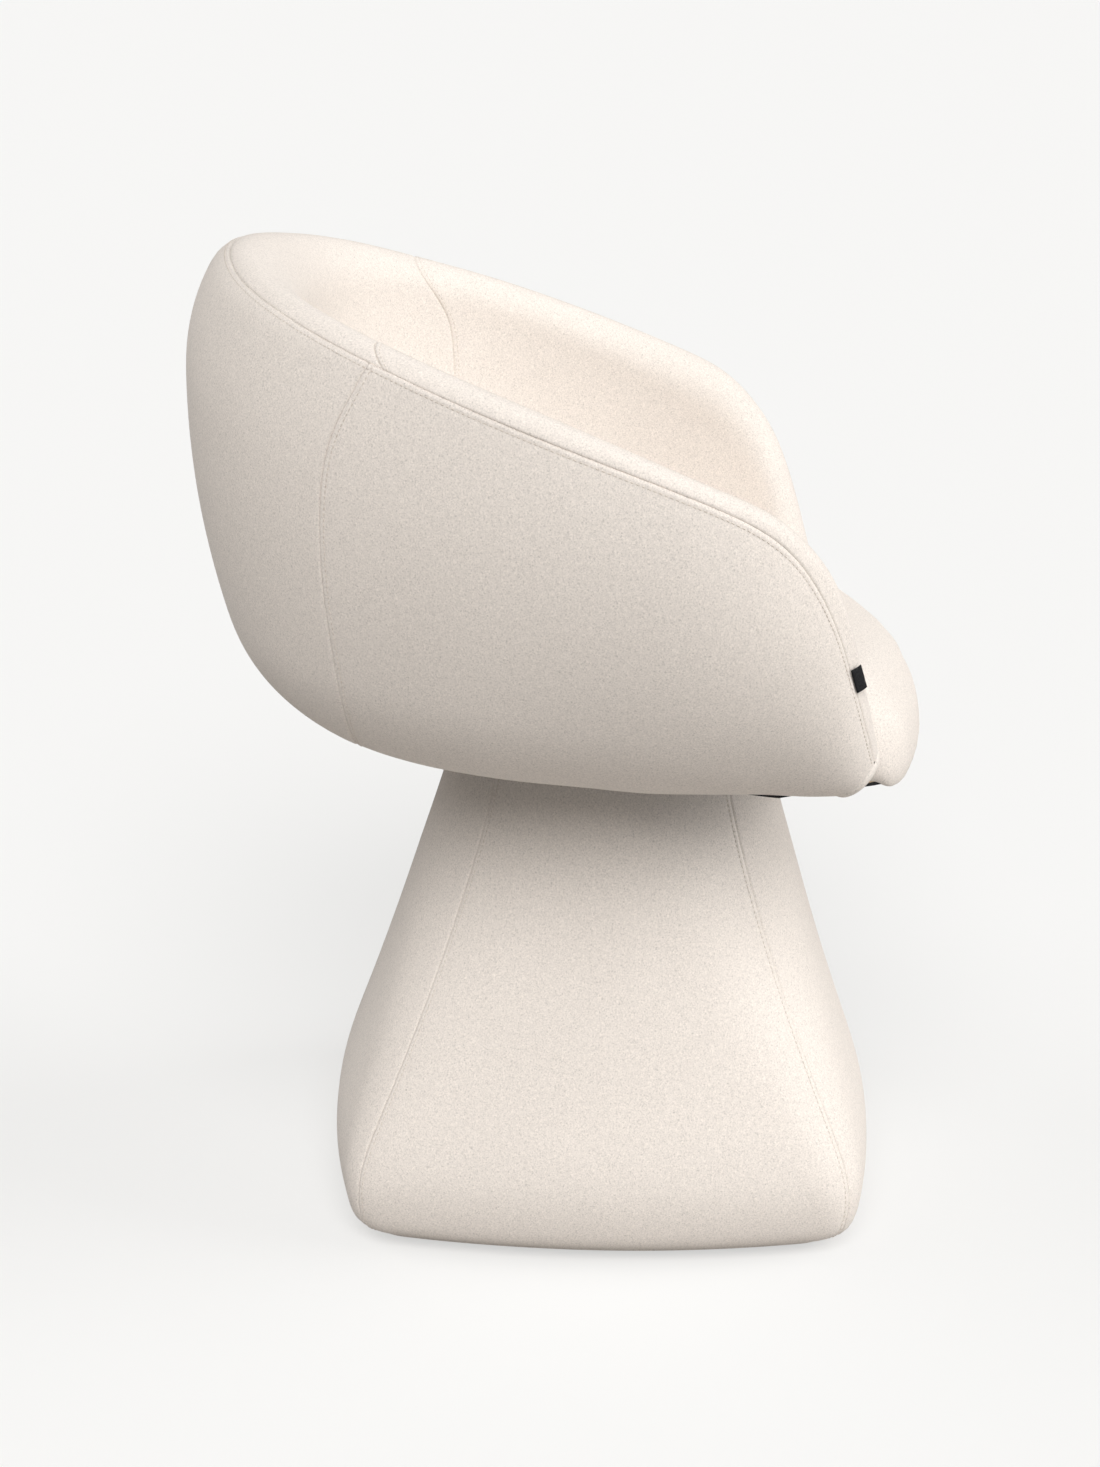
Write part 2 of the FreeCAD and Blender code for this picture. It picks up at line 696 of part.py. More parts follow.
def side_tab(wall):
    """Folded woven strip, sewn into the rim seam and lying over the rim."""
    ends = []
    for index in (tab_section, tab_section + 1):
        section = Section(index, -1)
        arc = section.arcs(0)[3]
        ends.append((section.point(*arc.at(section.seam)), section.point(arc.cp, arc.cq)))
    seat = ends[0][0] + (ends[1][0] - ends[0][0]) * tab_share
    middle = ends[0][1] + (ends[1][1] - ends[0][1]) * tab_share
    normal = (seat - middle).normalize()
    run = ends[1][0] - ends[0][0]
    run = (run - normal * run.dot(normal)).normalize()
    over = run.cross(normal)
    if over.y > 0:
        over = over * -1
    low = seat - run * (tab_height / 2) - normal * (tab_thickness / 2)
    corners = [low, low + run * tab_height, low + run * tab_height + over * tab_width, low + over * tab_width]
    strip = Part.Face(Part.makePolygon(corners + [corners[0]])).extrude(normal * tab_thickness)
    return main_solid(strip.cut(wall))


def build():
    parts = {}
    # Tub
    body = tub_solid(0)
    padding = tub_solid(cloth + glue_line).common(body)
    shell = tub_loft(lambda s: s.band(lambda arcs: arcs[:3], shell_cover, shell_cover + shell_wall), shell_last)
    shell = main_solid(shell.common(tub_solid(cloth + shell_margin)))
    outside = tub_loft(outer_cloth, len(station_shares) - 1)
    inside = tub_loft(inner_cloth, len(station_shares) - 1)
    parts["tub_shell"] = shell
    padding = padding.cut(shell)
    wedge = back_wedge()
    arms = padding.cut(wedge)
    parts["back_foam"] = padding.common(wedge)
    parts["arm_foam_left"] = main_solid(arms.common(half_space(1)))
    parts["arm_foam_right"] = main_solid(arms.common(half_space(-1)))
    parts.update(panels(outside, side_prism(outer_seam_shares),
                        ("outer_back", "outer_side_left", "outer_side_right")))
    parts.update(panels(inside, side_prism(inner_seam_shares),
                        ("inner_back", "inner_arm_left", "inner_arm_right")))
    for name, side in (("inner_arm_left", 1), ("inner_arm_right", -1)):
        parts[name] = parts[name].fuse(arm_end(side, 0)).removeSplitter()

    parts["side_tab"] = side_tab(tub_solid(-glue_line))

    # Seat
    under, deck = seat_boards()
    deck = bolt_holes(deck, deck_bottom, bolt_length, upper_bolt_turn_deg)
    flange_room = tube(pivot_flange_radius + fit_gap, 0, deck_bottom, pivot_flange + 2 * fit_gap)
    plate_room = tube(race_plate_radius + fit_gap, 0, tub_floor - overrun, 2 * overrun)
    parts["seat_deck"] = deck.cut(flange_room)
    parts["underside_cover"] = under.cut(plate_room)
    taken = [deck_room(), tub_solid(-fit_gap), arm_end(1, fit_gap), arm_end(-1, fit_gap)]
    cushion = seat_blank(cloth + glue_line)
    cover = seat_blank(0).cut(seat_blank(cloth))
    for room in taken:
        cushion = main_solid(cushion.cut(room))
        cover = main_solid(cover.cut(room))
    parts["seat_foam"] = cushion
    parts["seat_cover"] = cover

    # Base
    for name, quarter_turns in (("base_cover_left", 0), ("base_cover_back", 1),
                                ("base_cover_right", 2), ("base_cover_front", 3)):
        parts[name] = base_panel(quarter_turns)
    casing_room = slab(plate_top, swivel_bottom)
    foam_room = slab(plate_top, base_top - cloth - glue_line)
    parts["base_foam"] = base_solid(cloth + glue_line).common(foam_room).cut(
        base_solid(cloth + base_foam_wall)).cut(tube(top_ring_bore, 0, 0, base_top))
    parts["base_casing"] = base_solid(cloth + base_foam_wall).common(casing_room).cut(base_solid(inner_inset))
    top_ring = base_solid(cloth).common(slab(base_top - cloth, base_top))
    parts["base_top_cover"] = top_ring.cut(tube(top_ring_bore, 0, 0, 2 * base_top))
    parts["rib_fore_aft"], parts["rib_cross"] = ribs()
    parts["base_top_board"] = top_board()
    parts["base_plate"] = base_plate()
    parts["plate_screws"] = Part.makeCompound(plate_screws())
    parts["floor_glides"] = glides()

    # Swivel bearing
    parts["swivel_lower_plate"] = race(swivel_bottom, 1, lower_bolt_turn_deg)
    parts["swivel_upper_plate"] = race(deck_bottom, -1, upper_bolt_turn_deg)
    parts["swivel_pivot"] = pivot()
    ball = Part.makeSphere(ball_radius, Vec(race_radius, 0, ball_level))
    parts["swivel_balls"] = Part.makeCompound(around(ball, ball_count, 0))
    parts["lower_screws"] = bolts(swivel_bottom + race_plate, lower_bolt_turn_deg, -1)
    parts["upper_screws"] = bolts(deck_bottom - race_plate, upper_bolt_turn_deg, 1)
    return parts


to_frame = Vec(0, (seat_nose - tub_back - back_belly) / 2, 0)

os.makedirs("parts", exist_ok=True)
for node, shape in build().items():
    shape = shape.translated(to_frame)
    shape.exportStep("parts/" + node + ".step")
    print(node, len(shape.Solids), round(shape.Volume), shape.isValid())
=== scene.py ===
import json
import math

import bmesh
import bpy
import numpy as np
from mathutils import Matrix, Vector


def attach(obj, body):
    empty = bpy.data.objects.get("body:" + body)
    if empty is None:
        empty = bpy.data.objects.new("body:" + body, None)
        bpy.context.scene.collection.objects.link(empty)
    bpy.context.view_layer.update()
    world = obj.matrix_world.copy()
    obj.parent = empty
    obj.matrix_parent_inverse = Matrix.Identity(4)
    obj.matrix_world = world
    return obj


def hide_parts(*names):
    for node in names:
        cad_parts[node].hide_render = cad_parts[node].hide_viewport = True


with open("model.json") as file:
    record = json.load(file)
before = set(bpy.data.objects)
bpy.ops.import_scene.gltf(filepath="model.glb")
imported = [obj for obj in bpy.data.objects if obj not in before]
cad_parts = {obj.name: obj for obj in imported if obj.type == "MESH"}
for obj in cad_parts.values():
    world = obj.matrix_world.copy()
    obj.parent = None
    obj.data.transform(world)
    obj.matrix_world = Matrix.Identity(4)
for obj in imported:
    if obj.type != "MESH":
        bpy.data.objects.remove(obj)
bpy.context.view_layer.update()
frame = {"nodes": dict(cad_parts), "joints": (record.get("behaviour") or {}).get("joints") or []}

# Upholstered swivel tub chair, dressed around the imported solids. Metres, +Z up, the sitter
# faces -Y. Everything is drawn about the swivel axis, which stands at AXIS in the row frame.
MM = 0.001
AXIS = np.array(frame["joints"][0]["pos_m"])

# Tub: the same driving dimensions as the solids
TUB_HALF_WIDTH = 307 * MM
TUB_BACK = 297 * MM
TUB_FLOOR = 396 * MM
TUB_RISE = 383 * MM
BACK_BELLY = 45 * MM
BACK_WALL = 92 * MM
ARM_WALL = 54 * MM
INNER_LEAN_SHARE = 0.2
LOW_CORNER_SHARE = 0.88
CREST_SHARE = 0.66
INNER_CREST_SHARE = 0.8
INNER_CREST_RISE_SHARE = 1.15
DECK_DEPTH = 18 * MM
SIDE_NAMES = {1: "left", -1: "right"}
# a point inside the tub, and how far outside it a point stands that the inner cloth faces away from
TUB_HEART = np.array([0, 0, 0.6])
FAR_AWAY = 3.0

# One row per section of the wall, from the middle of the back to the front of an arm:
# direction of the wall's thickness in degrees, then shares for crest sideways, backwards and
# up, lean, belly, height from crest to belly, tuck, lift, padded thickness, and last the
# place of the rim seam, counted in arcs of the section from its foot outside.
STATIONS = [
    (0, 0.000, 1.000, 1.000, 0.000, 1.00, 0.232, 0.61, 0.000, 1.00, 3.70),
    (18, 0.349, 0.949, 0.982, 0.000, 1.00, 0.255, 0.60, 0.000, 0.89, 3.66),
    (36, 0.606, 0.815, 0.948, 0.000, 0.89, 0.266, 0.61, 0.000, 0.53, 3.50),
    (54, 0.798, 0.596, 0.893, 0.000, 0.77, 0.263, 0.64, 0.000, 0.21, 3.30),
    (72, 0.928, 0.320, 0.822, 0.000, 0.66, 0.248, 0.69, 0.000, 0.05, 3.10),
    (88, 0.990, 0.027, 0.739, 0.047, 0.56, 0.212, 0.74, 0.000, 0.00, 3.00),
    (96, 1.000, -0.209, 0.666, 0.108, 0.51, 0.188, 0.78, 0.000, 0.00, 3.00),
    (100, 0.967, -0.377, 0.598, 0.155, 0.48, 0.172, 0.81, 0.001, 0.00, 2.92),
    (103, 0.909, -0.492, 0.496, 0.182, 0.46, 0.150, 0.84, 0.004, 0.00, 2.74),
    (104, 0.845, -0.562, 0.366, 0.168, 0.46, 0.118, 0.87, 0.010, 0.00, 2.62),
    (105, 0.782, -0.613, 0.222, 0.141, 0.48, 0.085, 0.90, 0.018, 0.00, 2.58),
    (105, 0.723, -0.650, 0.116, 0.111, 0.46, 0.066, 0.90, 0.024, 0.00, 2.56),
]
# the station whose section spaces the points of the cloth
SPACING_STATION = 5
# Side view of the seams between back and sides: backwards as a share of TUB_BACK, height as a
# share of TUB_RISE above the underside.
OUTER_SEAM = [(0.600, 1.10), (0.600, 0.896), (0.694, 0.747), (0.734, 0.585), (0.724, 0.400),
              (0.690, 0.180), (0.640, -0.10)]
INNER_SEAM = [(0.600, 1.10), (0.600, 0.896), (0.512, 0.791), (0.478, 0.660), (0.470, 0.400),
              (0.480, 0.180), (0.480, -0.10)]

# Base: height, half width and corner place of each level, as shares of the height above or below
# the widest level, of the widest half width, and of the level's own half width
BASE_TOP = 388 * MM
BASE_WIDEST = 221 * MM
BASE_WIDEST_AT = 65 * MM
BASE_TURN_DEG = 12
BASE_ABOVE = [(1.000, 0.573, 0.7071), (0.851, 0.630, 0.7120), (0.666, 0.714, 0.7350),
              (0.418, 0.826, 0.7850), (0.161, 0.957, 0.8350)]
BASE_BELOW = [(1.000, 1.024, 0.862), (0.520, 1.018, 0.870), (0.260, 0.988, 0.872),
              (0.123, 0.930, 0.870)]
BASE_SIDE_LENGTH = 0.40
BASE_HEART = np.array([0, 0, 0.2])
# the panels' cloth turns in under the base
HEM_RADIUS = 2.2 * MM
HEM_RETURN = 6 * MM
HEM_FROM, HEM_TO = 0.3, math.pi / 2
# rings of the cloth on top, from its rim inwards: share of the rim, height in millimetres
BASE_CAP = [(1.0, -1.2), (0.985, -0.3), (0.95, 0.0), (0.9, 0.05), (0.8, 0.0), (0.73, -0.3)]
BASE_CAP_RETURN = 5 * MM

# Sewing
SEAM_DEPTH = 0.9 * MM
SEAM_SPREAD = 1.4 * MM
ALLOWANCE = 5 * MM
STITCH_SETBACK = 4.8 * MM
STITCH_PITCH = 4.2 * MM
STITCH_LENGTH = 3.3 * MM
THREAD_RADIUS = 0.33 * MM
THREAD_SIDES = 6
# along a thread: rise out of the cloth in millimetres, and thickness as a share of its radius
THREAD_RISE = (-0.30, 0.10, 0.22, 0.10, -0.30)
THREAD_TAPER = (0.45, 1, 1, 1, 0.45)
# cloth that stands up between a seam and its topstitching, and the dent under the threads
STITCH_RIDGE, RIDGE_SPREAD = 0.25 * MM, 1.8 * MM
STITCH_GROOVE, GROOVE_SPREAD = 0.30 * MM, 0.8 * MM
# uneven pull of a seam, and low swell of the padding
PUCKER_DEPTH, PUCKER_REACH = 0.22 * MM, 7 * MM
PUCKER_WAVES = (7 * MM, 11 * MM, 17 * MM, 29 * MM)
SWELL_DEPTH, SWELL_WAVE = 0.9 * MM, 140 * MM

# Rounded end of an arm
ARM_END_DEPTH = 9 * MM
ARM_END_TURN = 12 * MM
ARM_END_DOME = 0.12

# Cushion: one cover round these solids. It lies on the deck inside the wall's foot, and its lip
# hangs over the edge of the deck in front.
CUSHION_SOLIDS = ("seat_foam", "seat_deck", "underside_cover")
CUSHION_VOXEL = 5 * MM
CUSHION_SMOOTHING = 7
CUSHION_PRESSURE = 4.0
CUSHION_FRAMES = 20
CUSHION_SWELLING = 7 * MM
# share of that swelling, over places forwards and over heights: less against wall and deck
FORWARD_ROOM = ((-210 * MM, -170 * MM), (1.0, 0.25))
UPWARD_ROOM = ((420 * MM, 460 * MM), (0.25, 1.0))
CUSHION_CENTRE = np.array([0.0, -60 * MM])
CUSHION_LOW = 42 * MM
CUSHION_LIFT = 1.5 * MM
CUSHION_SOFTENING = 4
LIP_AT = -200 * MM
LIP_RUN = 12 * MM
LIP_DROP = 13 * MM
LIP_LOWEST = 7 * MM

# Tab: its place in stations from the middle of the back round to the right arm, then its size
# out of the seam, along it and through the strip
TAB_PLACE = 9.2
TAB_SIZE = (11 * MM, 21 * MM, 0.9 * MM)
TAB_SUNK = 1 * MM
TAB_SLANT = 3 * MM
TAB_CLEAR = 0.8 * MM
TAB_BOW = 1.6 * MM
# shares of the outer and of the inner stretch of a section between which the strip lies across
TAB_ACROSS = (0.97, 0.06)

# Floor: what it throws back at the chair, and what the camera sees of it
FLOOR_HALF = 60.0
FLOOR_LIT = (0.45, 0.437, 0.422, 1)
FLOOR_SEEN = (0.330, 0.329, 0.326, 1)
FLOOR_GLOW = 0.578
FLOOR_GLOW_COLOUR = (1.0, 0.995, 0.980, 1)

# Light: where each sun stands, and its strength
WORLD_COLOUR = (1.0, 0.995, 0.985, 1)
WORLD_STRENGTH = 0.09
SUN_SPREAD_DEG = 40
SUNS = [
    ("key", (-1.0, 0.0, 1.0), 2.52),
    ("window", (0.0, -1.0, 0.25), 1.88),
    ("front", (0.0, -1.0, 1.0), 0.50),
    ("rear", (0.0, 1.0, 1.0), 0.65),
]

# Camera, from the photograph's vanishing directions and the chair's outline
CAMERA_AT = (-2069 * MM, 50 * MM, 1028 * MM)
CAMERA_DOWN_DEG = 17.5
CAMERA_ROLL_DEG = 1.1
CAMERA_LENS = 63.8
CAMERA_SENSOR = 36
CAMERA_REACH = 200


# Curves

def spline(knots, values):
    """Natural cubic spline through rows of values; gives a function of a place per column."""
    knots = np.asarray(knots, float)
    shape = values.shape[1:]
    flat = values.reshape(len(knots), -1)
    step = np.diff(knots)
    matrix = np.eye(len(knots))
    right = np.zeros_like(flat)
    for i in range(1, len(knots) - 1):
        matrix[i, i - 1:i + 2] = step[i - 1], 2 * (step[i - 1] + step[i]), step[i]
        right[i] = 6 * ((flat[i + 1] - flat[i]) / step[i] - (flat[i] - flat[i - 1]) / step[i - 1])
    bend = np.linalg.solve(matrix, right).reshape((len(knots),) + shape)

    def at(places):
        """places has one column per column of values, or is a plain list."""
        places = np.asarray(places, float)
        i = np.clip(np.searchsorted(knots, places, side="right") - 1, 0, len(step) - 1)
        span = step[i]
        a = (knots[i + 1] - places) / span
        b = 1 - a
        columns = (np.arange(places.shape[1]),) if places.ndim == 2 else ()
        low, high = values[(i,) + columns], values[(i + 1,) + columns]
        m0, m1 = bend[(i,) + columns], bend[(i + 1,) + columns]
        extra = (1,) * (low.ndim - a.ndim)
        a, b, span = [v.reshape(v.shape + extra) for v in (a, b, span)]
        return a * low + b * high + ((a ** 3 - a) * m0 + (b ** 3 - b) * m1) * span ** 2 / 6

    return at


def graded(length, fine=1.0 * MM, coarse=5.5 * MM, edge=12 * MM):
    """Shares from 0 to 1 that lie close together near both ends."""
    places = [0.0]
    while places[-1] < length / 2:
        from_end = places[-1]
        places.append(from_end + fine + (coarse - fine) * min(1, (from_end / edge) ** 2))
    half = np.array(places) / (2 * places[-1])
    return np.concatenate([half, 1 - half[-2::-1]])


def cumulative(points, axis=0):
    """Length along lines of points, from the first point of each."""
    gaps = np.linalg.norm(np.diff(points, axis=axis), axis=-1)
    start = np.zeros_like(np.take(gaps, [0], axis=axis))
    return np.cumsum(np.concatenate([start, gaps], axis=axis), axis=axis)


def resample(points, shares):
    """Points at shares of a polyline's length."""
    length = cumulative(points)
    want = np.asarray(shares) * length[-1]
    return np.stack([np.interp(want, length, points[:, k]) for k in range(points.shape[1])], axis=-1)


# Tub wall

def arc(centre, radius, start, end, count=24):
    angle = np.linspace(start, end, count)
    return np.stack([centre[0] + radius * np.cos(angle), centre[1] + radius * np.sin(angle)], axis=-1)


def quarter(width, height, radius):
    """Two tangent arcs from (width, 0), going straight up, to (0, height), going level."""
    large = (width ** 2 + height ** 2 - 2 * height * radius) / (2 * (width - radius))
    meet = math.atan2(height - radius, large - width)
    return arc((width - large, 0), large, 0, meet), arc((0, height - radius), radius, meet, math.pi / 2)


def section(row, side):
    """The wall's outline at one station in 3D, and the point index of the rim seam."""
    turn, across, back, rise, lean, belly, drop, tuck, lift, wall, seam = row
    angle = math.radians(turn)
    out = np.array([side * math.sin(angle), math.cos(angle), 0])
    floor = TUB_FLOOR + lift * TUB_RISE
    crest = np.array([side * across * TUB_HALF_WIDTH, back * TUB_BACK, TUB_FLOOR + rise * TUB_RISE])
    foot = np.array([crest[0], crest[1] + lean * TUB_BACK, floor])
    along = crest - foot
    along = along - out * along.dot(out)
    height = np.linalg.norm(along)
    along = along / height
    thick = ARM_WALL + wall * (BACK_WALL - ARM_WALL)
    belly, drop = belly * BACK_BELLY, drop * TUB_RISE
    waist = height - drop
    tuck = tuck * waist
    deck = DECK_DEPTH / along[2]
    low_big, low_small = quarter(tuck, waist, LOW_CORNER_SHARE * min(tuck, waist))
    up_big, up_small = quarter(belly, drop, CREST_SHARE * min(belly, drop))
    inner = thick - belly
    shoulder = min(INNER_CREST_RISE_SHARE * inner, height - deck * (1 - LOW_CORNER_SHARE))
    in_big, in_small = quarter(inner, shoulder, INNER_CREST_SHARE * min(inner, shoulder))
    fall = max(height - shoulder - deck, deck * (1 - LOW_CORNER_SHARE))
    lean_in = INNER_LEAN_SHARE * fall
    face_radius = (fall ** 2 + lean_in ** 2) / (2 * lean_in)
    face = arc((-inner - face_radius, height - shoulder), face_radius,
               0, -math.asin(fall / face_radius))
    down = np.array([1, -1])
    inward = np.array([-1, 1])
    arcs = [
        (low_small * down + (belly - tuck, waist))[::-1],
        (low_big * down + (belly - tuck, waist))[::-1],
        up_big + (0, waist),
        up_small + (0, waist),
        (in_small * inward + (0, height - shoulder))[::-1],
        (in_big * inward + (0, height - shoulder))[::-1],
        face,
    ]
    whole = np.concatenate([arcs[0]] + [a[1:] for a in arcs[1:]])
    points = crest + whole[:, :1] * out + (whole[:, 1:] - height) * along
    return points, seam * (len(arcs[0]) - 1)


def split(points, seam):
    """Outer and inner stretch of an outline, parted at a place between its points."""
    i = int(seam)
    at = points[i] + (points[min(i + 1, len(points) - 1)] - points[i]) * (seam - i)
    return np.concatenate([points[:i + 1], [at]]), np.concatenate([[at], points[i + 1:]])


# every section from the right arm round the back to the left arm
ROUND = [(row, -1) for row in STATIONS[:0:-1]] + [(row, 1) for row in STATIONS]
OUTLINES = [section(row, side) for row, side in ROUND]
MID = (len(ROUND) - 1) // 2


def wall_spline(outside, shares):
    """Spline round the tub through every section, for one side of the rim seam."""
    stretches = [split(points, seam)[0 if outside else 1] for points, seam in OUTLINES]
    rows = np.stack([resample(stretch, shares) for stretch in stretches])
    whole = np.stack([resample(points, np.linspace(0, 1, 30)) for points, _ in OUTLINES])
    gaps = np.linalg.norm(np.diff(whole, axis=0), axis=2).mean(axis=1)
    knots = np.concatenate([[0], np.cumsum(np.sqrt(gaps))])
    return spline(knots, rows), knots


def seam_places(at, knots, columns, side, line):
    """Where a seam drawn in side view crosses each line of the wall, on one side of the chair."""
    curve = spline(np.arange(len(line)), np.array(line))
    fine = curve(np.linspace(0, len(line) - 1, 120))
    order = np.argsort(fine[:, 1])
    end = knots[-1] if side > 0 else knots[0]
    trial = np.linspace(knots[MID], end, 900)
    grid = at(np.repeat(trial[:, None], columns, axis=1))
    seam_y = np.interp(grid[..., 2], TUB_FLOOR + fine[order, 1] * TUB_RISE, fine[order, 0] * TUB_BACK)
    places = trial[np.argmax(grid[..., 1] < seam_y, axis=0)]
    for _ in range(6):
        places[1:-1] = (places[:-2] + 2 * places[1:-1] + places[2:]) / 4
    return places


def normals_of(grid):
    """Unit normals of a sheet of points."""
    along = np.gradient(grid, axis=0)
    across = np.gradient(grid, axis=1)
    normal = np.cross(along, across)
    return normal / np.maximum(np.linalg.norm(normal, axis=2, keepdims=True), 1e-12)


def outward(grid, normal, centre):
    """Turns the normals away from a point inside the padding."""
    i, j = grid.shape[0] // 2, grid.shape[1] // 2
    return normal * np.sign(np.dot(normal[i, j], grid[i, j] - centre))


# Cloth panels

def ripple(places, seed):
    """Small uneven pull along a seam, the same on every run."""
    rng = np.random.default_rng(seed)
    total = np.zeros_like(places)
    for wave in PUCKER_WAVES:
        total += np.sin(places * 2 * math.pi / (wave * rng.uniform(0.9, 1.1)) + rng.uniform(0, 6.28))
    return total / len(PUCKER_WAVES)


def swell(points, seed, waves=9):
    """Low uneven swell of padding under cloth."""
    rng = np.random.default_rng(seed)
    total = np.zeros(points.shape[:-1])
    for _ in range(waves):
        way = rng.normal(size=3)
        way = way / np.linalg.norm(way) * 2 * math.pi / (SWELL_WAVE * rng.uniform(0.7, 1.6))
        total += np.sin(points @ way + rng.uniform(0, 6.28))
    return total / waves * SWELL_DEPTH


def sew(grid, normal, edges, seed):
    """Draws a panel in at its seams. edges names each sewn edge and whether it is topstitched."""
    rows, columns = cumulative(grid, 0), cumulative(grid, 1)
    away = {
        "first_row": rows, "last_row": rows[-1:] - rows,
        "first_column": columns, "last_column": columns[:, -1:] - columns,
    }
    depth = np.zeros(grid.shape[:2])
    for number, (edge, topstitched) in enumerate(sorted(edges.items())):
        d = away[edge]
        run = columns if edge.endswith("row") else rows
        depth -= SEAM_DEPTH * np.exp(-(d / SEAM_SPREAD) ** 2)
        depth += PUCKER_DEPTH * ripple(run, seed + number) * np.exp(-d / PUCKER_REACH)
        if topstitched:
            depth += STITCH_RIDGE * np.exp(-((d - STITCH_SETBACK / 2) / RIDGE_SPREAD) ** 2)
            depth -= STITCH_GROOVE * np.exp(-((d - STITCH_SETBACK) / GROOVE_SPREAD) ** 2)
    depth += swell(grid, seed + 50)
    return grid + normal * depth[..., None]


def tuck_in(grid, normal, edges):
    """Adds the seam allowance: one more line of points behind each sewn edge."""
    for edge in edges:
        axis = 0 if edge.endswith("row") else 1
        last = edge.startswith("last")
        place = [-1 if last else 0]
        way = np.take(normal, place, axis=axis)
        inner = np.take(grid, place, axis=axis) - way * ALLOWANCE
        grid = np.concatenate([grid, inner] if last else [inner, grid], axis=axis)
        normal = np.concatenate([normal, way] if last else [way, normal], axis=axis)
    return grid


def mesh_object(name, points, faces):
    """Smooth shaded piece from points that are drawn about the axis."""
    mesh = bpy.data.meshes.new(name)
    mesh.from_pydata([tuple(p) for p in np.asarray(points) + AXIS * (1, 1, 0)], [], faces)
    mesh.validate()
    mesh.shade_smooth()
    piece = bpy.data.objects.new(name, mesh)
    bpy.context.scene.collection.objects.link(piece)
    return piece


def grid_faces(rows, columns, start, flip):
    """Quads between the points of one sheet, which are numbered from start."""
    faces = []
    for i in range(rows - 1):
        for j in range(columns - 1):
            a = start + i * columns + j
            quad = (a, a + 1, a + columns + 1, a + columns)
            faces.append(quad[::-1] if flip else quad)
    return faces


def joined(name, grids, flips):
    """One piece from several sheets of points."""
    points, faces = [], []
    for grid, flip in zip(grids, flips):
        faces += grid_faces(grid.shape[0], grid.shape[1], sum(len(p) for p in points), flip)
        points.append(grid.reshape(-1, 3))
    return mesh_object(name, np.concatenate(points), faces)


def faces_in(grid, normal):
    """Whether the faces of a sheet, as grid_faces winds them, look against its normals."""
    i, j = grid.shape[0] // 2, grid.shape[1] // 2
    way = np.cross(grid[i, j + 1] - grid[i, j], grid[i + 1, j] - grid[i, j])
    return np.dot(way, normal[i, j]) < 0


# Topstitching

def offset_line(grid, normal, edge, setback):
    """Line on a sheet at a distance from one of its edges, with the sheet's normals."""
    if edge.endswith("column"):
        grid, normal = grid.transpose(1, 0, 2), normal.transpose(1, 0, 2)
    if edge.startswith("last"):
        grid, normal = grid[::-1], normal[::-1]
    length = cumulative(grid, 0)
    i = np.argmax(length > setback, axis=0)
    j = np.arange(grid.shape[1])
    share = ((setback - length[i - 1, j]) / (length[i, j] - length[i - 1, j]))[:, None]
    line = grid[i - 1, j] * (1 - share) + grid[i, j] * share
    way = normal[i - 1, j] * (1 - share) + normal[i, j] * share
    return line, way / np.linalg.norm(way, axis=1, keepdims=True)


def stitches(grid, normal, edge):
    """Threads along one edge of a sheet: rows of points round each thread."""
    line, way = offset_line(grid, normal, edge, STITCH_SETBACK)
    length = cumulative(line)[-1]
    count, rings = int(length / STITCH_PITCH), len(THREAD_RISE)
    middles = (np.arange(count)[:, None] + 0.5) * STITCH_PITCH
    shares = np.clip((middles + np.linspace(-0.5, 0.5, rings) * STITCH_LENGTH) / length, 0, 1)
    place = resample(line, shares.ravel()).reshape(count, rings, 3)
    normal = way[np.clip((shares * (len(line) - 1)).astype(int), 0, len(line) - 1)]
    rise = np.array(THREAD_RISE) * MM
    thin = np.array(THREAD_TAPER) * THREAD_RADIUS
    place = place + normal * rise[None, :, None]
    run = np.gradient(place, axis=1)
    run /= np.linalg.norm(run, axis=2, keepdims=True)
    side = np.cross(run, normal)
    angle = np.linspace(0, 2 * math.pi, THREAD_SIDES, endpoint=False)
    ring = side[:, :, None] * np.cos(angle)[:, None] + normal[:, :, None] * np.sin(angle)[:, None]
    return place[:, :, None] + ring * thin[None, :, None, None]


def thread_object(name, runs, body):
    """One piece from every thread of several seams, each thread closed at its ends."""
    points, faces, start = [], [], 0
    for threads in runs:
        for thread in threads:
            points.append(thread.reshape(-1, 3))
            rings, sides = thread.shape[:2]
            for i in range(rings - 1):
                for j in range(sides):
                    a, b = start + i * sides + j, start + i * sides + (j + 1) % sides
                    faces.append((a, b, b + sides, a + sides))
            faces.append(tuple(start + j for j in reversed(range(sides))))
            faces.append(tuple(start + (rings - 1) * sides + j for j in range(sides)))
            start += rings * sides
    finish(mesh_object(name, np.concatenate(points), faces), THREAD, body, "felt")


# Materials

def principled(name, roughness):
    """New material: its node tree, its shader and the place that its noise reads."""
    material = bpy.data.materials.new(name)
    material.use_nodes = True
    nodes, links = material.node_tree.nodes, material.node_tree.links
    shader = nodes["Principled BSDF"]
    shader.inputs["Roughness"].default_value = roughness
    place = nodes.new("ShaderNodeTexCoord")
    return material, nodes, links, shader, place


def noise(nodes, links, place, scale, detail=2.0, rough=0.5, distortion=0.0):
    node = nodes.new("ShaderNodeTexNoise")
    node.inputs["Scale"].default_value = scale
    node.inputs["Detail"].default_value = detail
    node.inputs["Roughness"].default_value = rough
    node.inputs["Distortion"].default_value = distortion
    links.new(place.outputs["Object"], node.inputs["Vector"])
    return node


def ramp(nodes, links, source, stops):
    node = nodes.new("ShaderNodeValToRGB")
    while len(node.color_ramp.elements) < len(stops):
        node.color_ramp.elements.new(0.5)
    for element, (position, colour) in zip(node.color_ramp.elements, stops):
        element.position = position
        element.color = (*colour, 1)
    links.new(source, node.inputs["Fac"])
    return node


